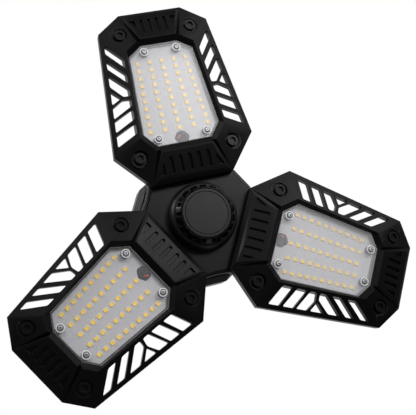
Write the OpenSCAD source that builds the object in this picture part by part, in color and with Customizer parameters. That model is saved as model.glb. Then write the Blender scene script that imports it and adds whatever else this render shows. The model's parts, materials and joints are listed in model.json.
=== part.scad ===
// Three-leaf garage light on a screw base, hanging from a ceiling socket.
// Origin: where the screw shell meets the collar. +Z goes up into the socket,
// and the light leaves towards -Z. The leaves lie open and flat.

/* [Leaf outline] */
// Distance from the lamp axis to the hub edge of a leaf
leaf_hub_radius = 33.5; // [32:0.5:36]
// Length of a leaf, from its hub edge to its tip
leaf_length = 157; // [154:0.5:164]
// Width of the straight hub edge
hub_edge_width = 73; // [68:0.5:76]
// Widest part of the leaf, at its hub corners
hub_side_width = 126; // [122:0.5:130]
// Length taken by the hub corners
hub_corner = 31; // [28:0.5:33]
// Width of the leaf at its tip corners
tip_side_width = 100; // [96:0.5:104]
// Width of the straight tip edge
tip_edge_width = 57; // [52:0.5:60]
// Length taken by the tip corners
tip_corner = 14.5; // [13:0.5:17]

/* [Leaf section] */
// Rise of the sloping faces, from the outer edge to the rim of the window
bezel_rise = 7; // [6:0.5:8]
// Height of the outer wall
bezel_wall_height = 7.8; // [7:0.1:7.9]
// Thickness of the outer wall
bezel_wall = 3; // [2.5:0.1:3.4]
// Thickness of the sloping faces, measured upright
bezel_skin = 5; // [4:0.5:6]
// Height of the lens front over the outer edge
lens_level = 3.5; // [3:0.1:4]
// Thickness of the lens
lens_thickness = 2; // [1.6:0.1:2.2]
// Thickness of the gasket under the lens
gasket_thickness = 0.8; // [0.6:0.1:1]
// Height of the end panels over the sloping face, at their outer edge
panel_rise = 1.3; // [0.8:0.1:1.6]
// Depth of the grooves between the end panels and the corners, at the rim
groove_depth = 2.8; // [2:0.1:3.2]
// Depth of the slots in the end panels
slot_depth = 2; // [0.8:0.1:2.2]

/* [Window] */
// Distance from the hub edge of the leaf to the window
window_start = 32.5; // [31:0.5:34]
// Length of the window
window_length = 92.5; // [90:0.5:95]
// Width of the window at its hub corners
window_hub_width = 69.6; // [67:0.2:71]
// Width of the window at its tip corners
window_tip_width = 59; // [57:0.2:61]

/* [Light] */
// Rows of diodes along a leaf
led_rows = 10; // [6:1:10]
// Columns of diodes across a leaf
led_columns = 5; // [3:1:5]
// Distance between rows
led_row_pitch = 7; // [6:0.1:7]
// Distance between columns at the hub end
led_hub_pitch = 13.2; // [12:0.1:13.2]
// Distance between columns at the tip end
led_tip_pitch = 11; // [10:0.1:11.2]
// Distance from the hub edge of the leaf to the first row
led_start = 47.7; // [47:0.1:49]

/* [Hub] */
// Depth of the hub face below the screw base
face_depth = 81; // [80:0.5:84]
// Distance from the axis to the hub edge in the gaps between leaves
hub_gap_radius = 51.4; // [50:0.2:53]
// Radius of the raised boss where it meets the hub face
boss_radius = 30.4; // [29.5:0.1:31]
// Height of the cap over the hub face
boss_height = 19.3; // [18:0.1:20]
// Teeth on the crown round the cap
crown_teeth = 18; // [12:1:20]
// Distance from the axis to the corners of the rear housing
housing_gap_radius = 57.5; // [56:0.5:61]

/* [Hinges] */
// Distance from the lamp axis to the hinge pins
hinge_radius = 53; // [52.5:0.1:53.5]
// Depth of the hinge pins below the screw base
hinge_depth = 74; // [73.5:0.1:74.5]
// Radius of the hinge knuckles
knuckle_radius = 5.5; // [5:0.1:5.8]
// Radius of the hinge pins
pin_radius = 3; // [2.6:0.1:3.2]

/* [Screw base] */
// Outer radius of the screw shell over its threads
shell_radius = 13.1; // [12.9:0.05:13.2]
// Distance between turns of the thread
thread_pitch = 3.63; // [3.5:0.01:3.7]
// Height of the threaded shell
shell_height = 21.5; // [20:0.5:23]

/* [Hidden] */
$fn = 48;

// ---- levels and places --------------------------------------------------
// Leaf frame: x away from the lamp axis, y across, w = 0 at the outer edge of
// the bezel's face and positive towards the light.

leaf_angle = [90, 210, 330];
edge_depth = face_depth + bezel_wall_height;
leaf_middle = leaf_hub_radius + leaf_length / 2;
leaf_tip = leaf_hub_radius + leaf_length;
far = 400;
gap = 0.3;
stop_gap = 0.1;

outer_outline = octagon(leaf_hub_radius, leaf_tip, hub_edge_width / 2, hub_side_width / 2, hub_corner,
                        tip_edge_width / 2, tip_side_width / 2, tip_corner);
window_x = leaf_hub_radius + window_start;
window_outline = octagon(window_x, window_x + window_length, 24.3, window_hub_width / 2, 12.5,
                         16.8, window_tip_width / 2, 8.6);
rim_outline = octagon(window_x - 5.5, window_x + window_length + 4.9, 25, window_hub_width / 2 + 3.1, 15,
                      18, window_tip_width / 2 + 1.2, 8.6);

seat_level = lens_level - lens_thickness - gasket_thickness;
board_front = -2;
board_thickness = 1.6;
pan_front = board_front - board_thickness;
pan_floor = 2;
pan_ledge = 1.4;
pan_back = pan_front - pan_floor;
fin_height = 8;
hinge_level = hinge_depth - edge_depth;
bolt_seat = 1.2;
ear_front = -1;
arm_screw_seat = pan_front - 1.4;
led_size = [3.4, 2.8, 0.8];
wire_hole_x = leaf_hub_radius + 40;

// Places of the bezel bolts and of the lens screws: x and half width
bolt_places = [[leaf_hub_radius + 25.6, 42], [leaf_hub_radius + 137.5, 32.4]];
screw_places = [[leaf_hub_radius + 39.3, 22.2], [leaf_hub_radius + 119, 14.9]];

// ---- plane geometry -----------------------------------------------------

// An eight-sided outline, symmetric about the x axis, anticlockwise.
function octagon(x0, x1, edge0, side0, corner0, edge1, side1, corner1) = [
    [x0, edge0], [x0, -edge0], [x0 + corner0, -side0], [x1 - corner1, -side1],
    [x1, -edge1], [x1, edge1], [x1 - corner1, side1], [x0 + corner0, side0]
];

function unit(v) = v / norm(v);
function left_of(v) = [-v.y, v.x];
function at(points, i) = points[(i + len(points)) % len(points)];

// Crossing of the line through p along d with the line through q along e.
function crossing(p, d, q, e) = p + d * ((q - p) * left_of(e)) / (d * left_of(e));

// An anticlockwise outline moved inwards by one distance for each edge.
function inset_by(points, distances) = [
    for (i = [0 : len(points) - 1])
        let (d0 = unit(at(points, i) - at(points, i - 1)), d1 = unit(at(points, i + 1) - at(points, i)))
        crossing(at(points, i) + left_of(d0) * at(distances, i - 1), d0,
                 at(points, i) + left_of(d1) * distances[i], d1)
];
function inset(points, distance) = inset_by(points, [for (p = points) distance]);

// An anticlockwise outline with each corner rounded to about the radius r.
function rounded(points, r) = [
    for (i = [0 : len(points) - 1])
        let (a = unit(at(points, i - 1) - points[i]), b = unit(at(points, i + 1) - points[i]),
             p = points[i] + a * r, q = points[i] + b * r)
        each [p, (p + q) / 4 + points[i] / 2, q]
];

function lift(points, z) = [for (p = points) [p.x, p.y, z]];

// A solid through rings of points of equal count, each anticlockwise as seen
// from the last ring.
module skin(rings) {
    n = len(rings[0]);
    polyhedron(
        points = [for (ring = rings) each ring],
        faces = concat(
            [[for (i = [0 : n - 1]) i]],
            [[for (i = [n - 1 : -1 : 0]) (len(rings) - 1) * n + i]],
            [for (k = [0 : len(rings) - 2], i = [0 : n - 1])
                let (p = k * n + i, q = k * n + (i + 1) % n)
                each [[p, p + n, q], [q, p + n, q + n]]]
        )
    );
}

// A solid between two outlines of equal count, at two heights.
module loft(low, z_low, high, z_high) { skin([lift(low, z_low), lift(high, z_high)]); }

module prism(outline, z_low, z_high) {
    translate([0, 0, z_low]) linear_extrude(z_high - z_low) polygon(outline);
}

module rod(r, z_low, z_high) {
    translate([0, 0, z_low]) cylinder(r = r, h = z_high - z_low);
}

// Children in the frame of leaf k.
module on_leaf(k) {
    rotate([0, 0, leaf_angle[k]]) translate([0, 0, -edge_depth]) rotate([180, 0, 0]) children();
}

module both_sides() {
    children();
    mirror([0, 1, 0]) children();
}

module at_bolts() {
    for (place = bolt_places, side = [-1, 1]) translate([place.x, side * place.y, 0]) children();
}

module at_screws() {
    for (place = screw_places, side = [-1, 1]) translate([place.x, side * place.y, 0]) children();
}

// Places of the two screws that hold the arm under the pan.
module at_arm_screws() {
    for (y = [-8, 8]) translate([window_x + 12, y, 0]) children();
}

// A round wire through a list of points, eight-sided. No stretch of it may run
// along y.
module wire(points, r) {
    skin([for (i = [0 : len(points) - 1])
        let (t = unit(points[min(i + 1, len(points) - 1)] - points[max(i - 1, 0)]),
             a = unit(cross([0, 1, 0], t)), b = cross(t, a))
        [for (angle = [0 : 45 : 315]) points[i] + r * (a * cos(angle) + b * sin(angle))]]);
}

// ---- bezel --------------------------------------------------------------

// Frame on face i of the bezel: x along the outer edge, y up the slope,
// z out of the face.
function face_frame(i) =
    let (p = [each at(outer_outline, i), 0], q = [each at(outer_outline, i + 1), 0],
         r = [each at(rim_outline, i), bezel_rise],
         e = unit(q - p), n = unit(cross(e, r - p)), s = cross(n, e))
    [[e.x, s.x, n.x, p.x], [e.y, s.y, n.y, p.y], [e.z, s.z, n.z, p.z], [0, 0, 0, 1]];

// Corners of face i in its own frame, anticlockwise from the outer edge.
function face_corners(i) =
    let (p = [each at(outer_outline, i), 0], q = [each at(outer_outline, i + 1), 0],
         r = [each at(rim_outline, i), bezel_rise], t = [each at(rim_outline, i + 1), bezel_rise],
         e = unit(q - p), n = unit(cross(e, r - p)), s = cross(n, e))
    [for (v = [p, q, t, r]) [(v - p) * e, (v - p) * s]];

// Strip left bare round an end panel, borders of its top along the outer edge,
// the sides and the rim, and its height over the face at the rim
panel_strip = 0.4;
panel_border = 4;
panel_side = 3.2;
panel_rim = 0.9;
panel_rim_rise = 0.2;

// Raised panel on the end face i, less steep than the face.
module end_panel(i) {
    base = inset(face_corners(i), panel_strip);
    top = inset_by(face_corners(i), [panel_border, panel_side, panel_rim, panel_side]);
    rises = [panel_rise, panel_rise, panel_rim_rise, panel_rim_rise];
    multmatrix(face_frame(i))
        skin([lift(base, -1), lift(base, 0), [for (k = [0 : 3]) [top[k].x, top[k].y, rises[k]]]]);
}

// Slots in the end panel of face i: count, pitch, length and distance from
// the outer edge, with a triangle at each end of the row.
module panel_slots(i, count, pitch, slot_length, start) {
    width = 3.2;
    corners = face_corners(i);
    row_end = (count - 1) / 2 * pitch + pitch - width / 2;
    tilt = atan((panel_rise - panel_rim_rise) / (corners[2].y - panel_rim - panel_border));
    multmatrix(face_frame(i)) translate([corners[1].x / 2, panel_border, panel_rise]) rotate([-tilt, 0, 0])
        translate([0, start - panel_border, 0]) {
            for (k = [0 : count - 1]) translate([(k - (count - 1) / 2) * pitch, 0, 0]) {
                translate([-width / 2, width / 2, -slot_depth]) cube([width, slot_length - width, 4]);
                for (y = [width / 2, slot_length - width / 2]) translate([0, y, 0]) rod(width / 2, -slot_depth, 2);
            }
            for (side = [0, 1]) mirror([side, 0, 0])
                prism(rounded([[row_end, 0.4], [row_end + 6, 0.4], [row_end, slot_length * 0.72]], 0.8),
                      -slot_depth, 2);
        }
}

// Groove between the end face and the corner face that meet at corner i. It
// has no depth at the outer edge and is deepest at the rim.
module corner_groove(i) {
    low = [each at(outer_outline, i), 0];
    high = [each at(rim_outline, i), bezel_rise];
    down = [0, 0, -groove_depth];
    widths = i % 2 == 0 ? [2.6, 1.4] : [1.4, 2.6];
    walls = [for (side = [0, 1])
        widths[side] * unit([each at(rim_outline, i + 2 * side - 1), bezel_rise] - high) - down];
    skin([for (share = [0.02, 1.2])
        [for (wall = [[0, 0, 0], walls[0], walls[1]]) low + share * (high - low + down + 1.8 * wall)]]);
}

// One slanted opening in the side, from the inner strip to the outer one.
function side_opening(inner0, inner1, outer0, outer1) = [
    [inner0, inner_strip(inner0)], [inner1, inner_strip(inner1)],
    [outer1, outer_strip(outer1)], [outer0, outer_strip(outer0)]
];

// Edges of the solid strips beside the window and along the outer edge,
// at the distance u from the middle of the leaf.
function inner_strip(u) = 37.3 - 0.074 * u;
function outer_strip(u) = 53.4 - 0.112 * u;

module side_lattice() {
    hub_lean = 8;
    tip_lean = 17.4;
    fork = 44.2;
    openings = [
        for (u = [-31.3, -18.4]) side_opening(u, u + 9.2, u - hub_lean, u + 10 - hub_lean),
        [[-6.4, inner_strip(-6.4)], [-0.4, inner_strip(-0.4)], [0.8, fork],
         [-4.3, outer_strip(-4.3)], [-14.2, outer_strip(-14.2)]],
        [[-1.6, outer_strip(-1.6)], [2.3, fork + 0.9], [11, outer_strip(11)]],
        [[2.5, inner_strip(2.5)], [8.2, inner_strip(8.2)], [8.2 + tip_lean, outer_strip(8.2 + tip_lean)],
         [14.8, outer_strip(14.8)], [2.9, fork - 1.4]],
        for (u = [13.6, 27.6]) side_opening(u, u + 8, u + tip_lean, u + 8 + tip_lean)
    ];
    translate([leaf_middle, 0, 0]) both_sides()
        for (outline = openings) prism(rounded(outline, 1.3), -20, 20);
}

// Arm from the pan to a bezel bolt, in plan.
module ear(extra, z_low, z_high) {
    root_x = [window_x + 8, window_x + window_length - 5];
    for (k = [0, 1]) both_sides() {
        tip = bolt_places[k];
        root = [root_x[k], k == 0 ? 27 : 22];
        along = unit(tip - root);
        across = left_of(along) * (5 + extra);
        prism([root - across, tip - across, tip + across, root + across], z_low, z_high);
        translate([tip.x, tip.y, 0]) rod(6 + extra, z_low, z_high);
    }
}

module bezel_shape() {
    collar = inset(window_outline, -4.4);
    cavity = inset(outer_outline, bezel_wall);
    difference() {
        union() {
            difference() {
                union() {
                    prism(outer_outline, stop_gap - bezel_wall_height, 0);
                    loft(outer_outline, 0, rim_outline, bezel_rise);
                }
                difference() {
                    union() {
                        prism(cavity, -far, -bezel_skin);
                        loft(cavity, -bezel_skin, rim_outline, bezel_rise - bezel_skin);
                    }
                    prism(collar, -far, far);
                }
            }
            at_bolts() rod(8.4, ear_front, 2.5);
            for (i = [0, 4]) end_panel(i);
        }
        loft(window_outline, lens_level, inset(rim_outline, -0.02), bezel_rise + 0.02);
        prism(window_outline, -far, lens_level + 0.01);
        prism(inset(window_outline, -2.4), -far, seat_level);
        ear(gap, -far, ear_front);
        side_lattice();
        translate([window_x - 6, -arm_half - gap, -far]) cube([6, 2 * (arm_half + gap), far + pan_back + gap]);
        for (i = [0, 1, 4, 5]) corner_groove(i);
        panel_slots(0, 5, 8.4, 15, 7.5);
        panel_slots(4, 4, 7, 14.5, 8);
        at_bolts() {
            rod(6.6, bolt_seat, far);
            rod(2.7, -far, far);
        }
    }
}

module bezel(k) { color("#1c1c1d") on_leaf(k) bezel_shape(); }

// ---- leaf inside --------------------------------------------------------

module heat_pan_shape() {
    wall_outer = inset(window_outline, -2.1);
    wall_inner = inset(window_outline, pan_ledge);
    fin_start = window_x + 20;
    fin_end = window_x + window_length - 4;
    fin_pitch = 6;
    fin_thickness = 1.8;
    difference() {
        union() {
            difference() {
                union() {
                    prism(wall_outer, pan_back, seat_level);
                    ear(0, pan_back, ear_front);
                }
                prism(wall_inner, pan_front, far);
            }
            at_screws() rod(3.2, pan_front - 0.5, seat_level);
            for (k = [-4 : 4])
                translate([fin_start, k * fin_pitch - fin_thickness / 2, pan_back - fin_height])
                    cube([fin_end - fin_start, fin_thickness, fin_height]);
            for (x = [fin_start, fin_end - fin_thickness])
                translate([x, -4 * fin_pitch, pan_back - fin_height / 2])
                    cube([fin_thickness, 8 * fin_pitch, fin_height / 2]);
        }
        at_screws() rod(1.5, -3.2, far);
        at_bolts() rod(2.5, -far, far);
        translate([wire_hole_x, 0, 0]) rod(4.2, -far, far);
        at_arm_screws() {
            rod(1.5, -far, far);
            rod(3.1, arm_screw_seat, far);
        }
    }
}

module heat_pan(k) { color("#232325") on_leaf(k) heat_pan_shape(); }

module led_board(k) {
    color("#f2f1ec") on_leaf(k) difference() {
        prism(inset(window_outline, pan_ledge + 0.3), pan_front, board_front);
        at_screws() rod(3.8, -far, far);
        translate([wire_hole_x, 0, 0]) rod(4.6, -far, far);
    }
}

module leds(k) {
    color("#e9c86a") on_leaf(k)
        for (row = [0 : led_rows - 1], column = [0 : led_columns - 1]) {
            share = row / (led_rows - 1);
            pitch = led_hub_pitch + share * (led_tip_pitch - led_hub_pitch);
            translate([leaf_hub_radius + led_start + row * led_row_pitch - led_size.x / 2,
                       (column - (led_columns - 1) / 2) * pitch - led_size.y / 2, board_front])
                cube(led_size);
        }
}

module gasket(k) {
    color("#d8d8d4") on_leaf(k) difference() {
        prism(inset(window_outline, 0.3), seat_level, seat_level + gasket_thickness);
        prism(inset(window_outline, pan_ledge - 0.1), -far, far);
    }
}

module lens(k) {
    color("#dfe6ea", 0.5) on_leaf(k) difference() {
        prism(inset(window_outline, 0.25), lens_level - lens_thickness, lens_level);
        at_screws() rod(1.7, -far, far);
    }
}

module screw(shank, head, tip, seat, height, drive) {
    difference() {
        union() {
            rod(shank, tip, seat + 0.01);
            rod(head, seat, seat + height);
        }
        translate([0, 0, seat + height * 0.4]) cylinder(r = drive, h = height, $fn = 6);
    }
}

module lens_screws(k) {
    color("#b9bcc0") on_leaf(k) at_screws() screw(1.4, 2.8, -2.6, lens_level, 1.4, 1.3);
}

module bezel_bolts(k) {
    color("#2a2a2c") on_leaf(k) at_bolts() screw(2.4, 4.75, pan_back - 0.6, bolt_seat, 3.4, 2.9);
}

// ---- hinges -------------------------------------------------------------

arm_half = 13;
washer = 0.6;
lug_inner = arm_half + washer;
lug_outer = lug_inner + 6;

module across_hinge(r, y_low, y_high) {
    translate([hinge_radius, y_high, hinge_level]) rotate([90, 0, 0]) cylinder(r = r, h = y_high - y_low);
}

module hinge_arm(k) {
    flange_x = hinge_radius + knuckle_radius + 2.5;
    flange_length = 19;
    flange_low = pan_back - 3;
    color("#3c3d40") on_leaf(k) difference() {
        union() {
            across_hinge(knuckle_radius, -arm_half, arm_half);
            translate([flange_x, -arm_half, flange_low]) cube([flange_length, 2 * arm_half, 3]);
            translate([hinge_radius, arm_half, 0]) rotate([90, 0, 0])
                linear_extrude(2 * arm_half)
                    polygon([[0, hinge_level], [knuckle_radius, hinge_level], [12, flange_low],
                             [8, flange_low + 3], [2, hinge_level + knuckle_radius - 0.6]]);
        }
        across_hinge(pin_radius + 0.05, -far, far);
        translate([hinge_radius - 10, -5, hinge_level - 10]) cube([14.5, 10, 20]);
        translate([wire_hole_x, 0, 0]) rod(3.2, -far, far);
        translate([hinge_radius + 3, -2.5, -far]) cube([wire_hole_x - hinge_radius - 3, 5, far]);
        at_arm_screws() rod(1.7, -far, far);
    }
}

module arm_screws(k) {
    color("#b9bcc0") on_leaf(k) at_arm_screws() screw(1.4, 2.8, pan_back - 2.6, arm_screw_seat, 1.2, 1.3);
}

// Two shouldered pins for each hinge, so that the wires pass between them.
module hinge_pins(k) {
    head = 3;
    color("#a9adb2") on_leaf(k) both_sides() difference() {
        union() {
            across_hinge(pin_radius, 5.6, lug_outer + 0.01);
            across_hinge(knuckle_radius - 0.6, lug_outer, lug_outer + head);
        }
        translate([hinge_radius, lug_outer + head + 0.01, hinge_level]) rotate([90, 0, 0])
            cylinder(r = 2.3, h = 1.8, $fn = 6);
    }
}

module friction_washers(k) {
    color("#c9b27c") on_leaf(k) both_sides() difference() {
        across_hinge(knuckle_radius, arm_half, lug_inner);
        across_hinge(pin_radius + 0.05, 0, far);
    }
}

// The wires are drawn up to 2 mm from the hinge axis, where they bend.
module leaf_wires(k) {
    color("#b3261e") on_leaf(k) for (side = [-1, 1])
        wire([[hinge_radius + 2, side * 1.3, hinge_level + 0.4], [hinge_radius + 5, side * 1.3, hinge_level + 1.5],
              [hinge_radius + 10, side * 1.3, hinge_level + 5], [wire_hole_x - 5, side * 1.3, pan_back - 1.6],
              [wire_hole_x - 1, side * 1.3, pan_back - 0.6], [wire_hole_x + 1, side * 1.4, pan_front],
              [wire_hole_x + 0.4, side * 1.8, board_front + 0.8], [wire_hole_x - 1, side * 2.6, board_front + 1.4],
              [wire_hole_x - 3, side * 4.2, board_front + 0.95]], 0.8);
}

// ---- hub ----------------------------------------------------------------

// Outline of the hub face: a shallow scallop in each gap, flat under a leaf.
scallop_half = 16;
scallop_bend = 160;
hub_outline = [
    for (k = [0 : 2]) let (g = 30 + 120 * k, l = 90 + 120 * k) each concat(
        [for (t = [-1 : 0.5 : 1]) polar(hub_gap_radius + pow(t * scallop_half, 2) / scallop_bend,
                                        t * scallop_half, g)],
        [polar(45, -24, l), polar(45, 24, l)])
];

// Outline of the rear housing: a six-sided body, its corners cut off.
housing_face = 55;
housing_leaf_radius = 46;
gap_half = 2 * (housing_face - housing_gap_radius * cos(30));
leaf_half = 2 * (housing_face - housing_leaf_radius * cos(30));
housing_outline = [
    for (k = [0 : 2]) let (g = 30 + 120 * k, l = 90 + 120 * k) each [
        polar(housing_gap_radius, -gap_half, g), polar(housing_gap_radius, gap_half, g),
        polar(housing_leaf_radius, -leaf_half, l), polar(housing_leaf_radius, leaf_half, l)]
];

// The point at distance r along the direction a, and t across it.
function polar(r, t, a) = [r * cos(a) - t * sin(a), r * sin(a) + t * cos(a)];

cover_back = -face_depth + 8;
housing_chamfer = 5;
housing_shoulder = cover_back + 24;
housing_neck = housing_shoulder + 14;
collar_bottom = -17;
neck_radius = 27;
cover_screw_radius = 43;
board_screw_radius = 32;
driver_level = -64;
cap_hole = 21.5;
skirt_height = 12.4;
ledge_drop = 6;

module in_gaps(r) {
    for (k = [0 : 2]) rotate([0, 0, 30 + 120 * k]) translate([r, 0, 0]) children();
}

module at_cover_screws() { in_gaps(cover_screw_radius) children(); }
module at_board_screws() { in_gaps(board_screw_radius) children(); }

module hub_cover() {
    floor_level = -face_depth + 3;
    ledge_bore = 17;
    color("#1c1c1d") difference() {
        union() {
            difference() {
                union() {
                    skin([for (step = [[4, 0], [1.6, 0.8], [0.4, 2], [0, 3.6], [0, 8]])
                        lift(inset(hub_outline, step[0]), -face_depth + step[1])]);
                }
                prism(inset(hub_outline, 3), floor_level, far);
            }
            translate([0, 0, -face_depth]) rotate_extrude($fn = 96) polygon(concat(
                [[ledge_bore, 3], [boss_radius, 3]],
                [for (a = [0 : 10 : 90]) [boss_radius - 4.4 * (1 - cos(a)), -skirt_height * sin(a)]],
                [[cap_hole, -skirt_height], [cap_hole, -ledge_drop], [ledge_bore, -ledge_drop]]));
            at_cover_screws() rod(4, floor_level - 1, cover_back);
            at_board_screws() rod(3, floor_level - 1, driver_level);
        }
        rod(ledge_bore, -far, 0);
        at_cover_screws() rod(1.6, floor_level + 0.5, far);
        at_board_screws() rod(1.1, driver_level - 7, far);
    }
}

module vent_crown() {
    slot = 3.6;
    foot = -skirt_height - 0.01;
    color("#1a1a1b") difference() {
        translate([0, 0, -face_depth]) rotate_extrude($fn = 96) polygon([
            [cap_hole, foot], [cap_hole, -boss_height + 0.7], [cap_hole + 0.5, -boss_height + 0.3],
            [cap_hole + 1.3, -boss_height + 0.5], [25.9, -13.6], [25.9, foot]]);
        for (k = [0 : crown_teeth - 1]) rotate([0, 0, (k + 0.5) * 360 / crown_teeth])
            translate([cap_hole + 0.9, -slot / 2, -face_depth - boss_height - 1]) cube([10, slot, 6.4]);
    }
}

module center_cap() {
    groove = 0.5;
    groove_radius = 18.6;
    side = cap_hole - 0.2;
    color("#232324") difference() {
        translate([0, 0, -face_depth]) rotate_extrude($fn = 96) polygon([
            [0, -boss_height + 3], [0, -boss_height - 0.2], [12, -boss_height - 0.1],
            [side - 0.5, -boss_height], [side, -boss_height + 0.5], [side, -ledge_drop - 0.01],
            [side - 2.3, -ledge_drop - 0.01],
            [side - 2.3, -boss_height + 3]]);
        difference() {
            rod(groove_radius + groove / 2, -far, -face_depth - boss_height + 0.6);
            rod(groove_radius - groove / 2, -2 * far, 0);
        }
    }
}

module rear_housing() {
    inner = inset(housing_outline, 3);
    rim = cover_back + housing_chamfer;
    front_outline = inset_by(housing_outline, [for (k = [0 : 2]) each [
        housing_chamfer, housing_chamfer / 2, 0.01, housing_chamfer / 2]]);
    neck_ring = [for (p = housing_outline) unit(p) * (neck_radius + 3)];
    inner_ring = [for (p = housing_outline) unit(p) * (neck_radius - 2.6)];
    fin_count = 18;
    color("#1e1e1f") difference() {
        union() {
            difference() {
                union() {
                    loft(front_outline, cover_back, housing_outline, rim);
                    prism(housing_outline, rim, housing_shoulder);
                    loft(housing_outline, housing_shoulder, neck_ring, housing_neck);
                    rod(neck_radius, housing_neck - 0.5, collar_bottom);
                    for (k = [0 : fin_count - 1]) rotate([0, 0, k * 360 / fin_count])
                        translate([neck_radius - 1, -1, housing_neck - 1])
                            cube([4, 2, collar_bottom - housing_neck - 3]);
                    for (k = [0 : 2]) rotate([0, 0, leaf_angle[k]]) both_sides() hinge_lug();
                }
                prism(inset(hub_outline, 3), cover_back - 1, rim + 1);
                prism(inner, rim + 1, housing_shoulder);
                loft(inner, housing_shoulder, inner_ring, housing_neck);
                rod(neck_radius - 3, housing_neck - 0.5, collar_bottom - 3);
            }
            at_cover_screws() rod(4, cover_back, housing_shoulder + 6);
        }
        rod(11, collar_bottom - 10, 0);
        for (k = [0 : 2]) rotate([0, 0, leaf_angle[k]]) {
            translate([hinge_radius, far / 2, -hinge_depth]) rotate([90, 0, 0])
                cylinder(r = pin_radius + 0.05, h = far);
            translate([40, 0, -hinge_depth + 5]) rotate([0, 90, 0]) cylinder(r = 3, h = 12);
        }
        at_cover_screws() {
            rod(1.8, -far, far);
            rod(3.1, cover_back + 6, far);
        }
    }
}

// One lug of a hinge, in the leaf's direction, between housing and pin.
module hinge_lug() {
    translate([0, lug_outer, 0]) rotate([90, 0, 0]) linear_extrude(lug_outer - lug_inner)
        polygon([[housing_leaf_radius - 1, -hinge_depth + 1.5], [hinge_radius - 1, -hinge_depth - knuckle_radius + 1],
                 [hinge_radius + knuckle_radius, -hinge_depth], [hinge_radius + knuckle_radius - 1, -hinge_depth + 4],
                 [housing_leaf_radius - 1, -hinge_depth + 18]]);
    translate([hinge_radius, lug_outer, -hinge_depth]) rotate([90, 0, 0])
        cylinder(r = knuckle_radius, h = lug_outer - lug_inner);
}

module cover_screws() {
    color("#b9bcc0") at_cover_screws() screw(1.5, 2.9, -face_depth + 4.2, cover_back + 6, 2.4, 1.4);
}

// ---- inside the hub -----------------------------------------------------

module driver_board() {
    color("#2f6b3c") difference() {
        rod(36, driver_level, driver_level + 1.6);
        rod(2, -far, 0);
        at_board_screws() rod(1.5, -far, 0);
    }
}

module board_screws() {
    color("#b9bcc0") at_board_screws() screw(1, 2.1, driver_level - 6, driver_level + 1.6, 1.4, 0.9);
}

module driver_parts() {
    top = driver_level + 1.6;
    color("#3b3f46") {
        for (place = [[18, 12, 5, 14], [20, -8, 4, 11], [-17, 12, 6.2, 15]])
            translate([place[0], place[1], 0]) rod(place[2], top, top + place[3]);
        translate([-14, -18, top]) cube([18, 14, 12]);
        translate([-2, 16, top]) cube([12, 8, 7]);
        translate([-26, -4, top]) cube([8, 8, 6]);
        translate([8, -28, top]) difference() {
            rod(6, 0, 6);
            rod(2.6, -1, 7);
        }
    }
}

module hub_wires() {
    color("#b3261e") {
        for (k = [0 : 2], side = [-1, 1]) rotate([0, 0, leaf_angle[k]])
            wire([[27, side * 1.3, driver_level], [27, side * 1.3, driver_level - 2],
                  [30, side * 1.3, driver_level - 5],
                  [42, side * 1.3, -hinge_depth + 5], [47, side * 1.3, -hinge_depth + 4],
                  [hinge_radius - 2, side * 1.3, -hinge_depth + 1]], 0.8);
        for (side = [-1, 1])
            wire([[side * 5, -2, driver_level + 1.6], [side * 5, -2, -40], [side * 5, 0, -18],
                  [side * 4, 0, -2]], 0.9);
    }
}

// ---- screw base ---------------------------------------------------------

module base_collar() {
    rib_count = 24;
    color("#222223") difference() {
        union() {
            rotate_extrude($fn = 96) polygon([
                [0, collar_bottom], [28.5, collar_bottom], [29.5, collar_bottom + 1.5], [29.5, collar_bottom + 5],
                [25, collar_bottom + 9], [17.5, -3], [16.5, -1], [15, 0], [0, 0]]);
            rod(11.6, -1, 2.5);
            rod(10.8, collar_bottom - 2.8, collar_bottom + 1);
        }
        for (k = [0 : rib_count - 1]) rotate([0, 0, k * 360 / rib_count])
            translate([29.9, 0, 0]) rod(1.1, collar_bottom - 1, collar_bottom + 8);
        rod(8, -far, 2.6);
    }
}

module screw_shell() {
    turns = 4;
    crest = 1.1;
    root = shell_radius - 1.1;
    turn_profile = [for (k = [0 : turns]) let (z = 3.2 + k * thread_pitch)
        each [[root, z - thread_pitch / 2], [shell_radius - 0.1, z - crest / 2 - 0.3],
              [shell_radius, z - crest / 2], [shell_radius, z + crest / 2],
              [shell_radius - 0.1, z + crest / 2 + 0.3]]];
    color("#c8b98e") rotate_extrude($fn = 96) polygon(concat(
        [[11.7, 0.01], [root + 0.6, 0.01]], turn_profile,
        [[root, shell_height - 1.2], [root - 1.5, shell_height], [6.1, shell_height], [6.1, shell_height - 0.5],
         [root - 1.7, shell_height - 0.5], [root - 0.4, shell_height - 1.5], [11.7, 2.6]]));
}

module contact_insulator() {
    color("#20201f") difference() {
        rotate_extrude($fn = 64) polygon([
            [0, shell_height - 2.4], [9.4, shell_height - 2.4], [9.4, shell_height - 0.52],
            [6, shell_height - 0.52], [6, shell_height + 0.2], [8.2, shell_height + 0.4],
            [5.2, shell_height + 3], [0, shell_height + 3]]);
        rod(1.6, 0, far);
    }
}

module contact_tip() {
    color("#b8a878") {
        rotate_extrude($fn = 48) polygon([
            [0, shell_height + 3], [4.6, shell_height + 3], [4.4, shell_height + 3.9],
            [3, shell_height + 4.7], [0, shell_height + 5]]);
        rod(1.5, shell_height - 1.5, shell_height + 3.01);
    }
}

// ---- assembly -----------------------------------------------------------

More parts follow.
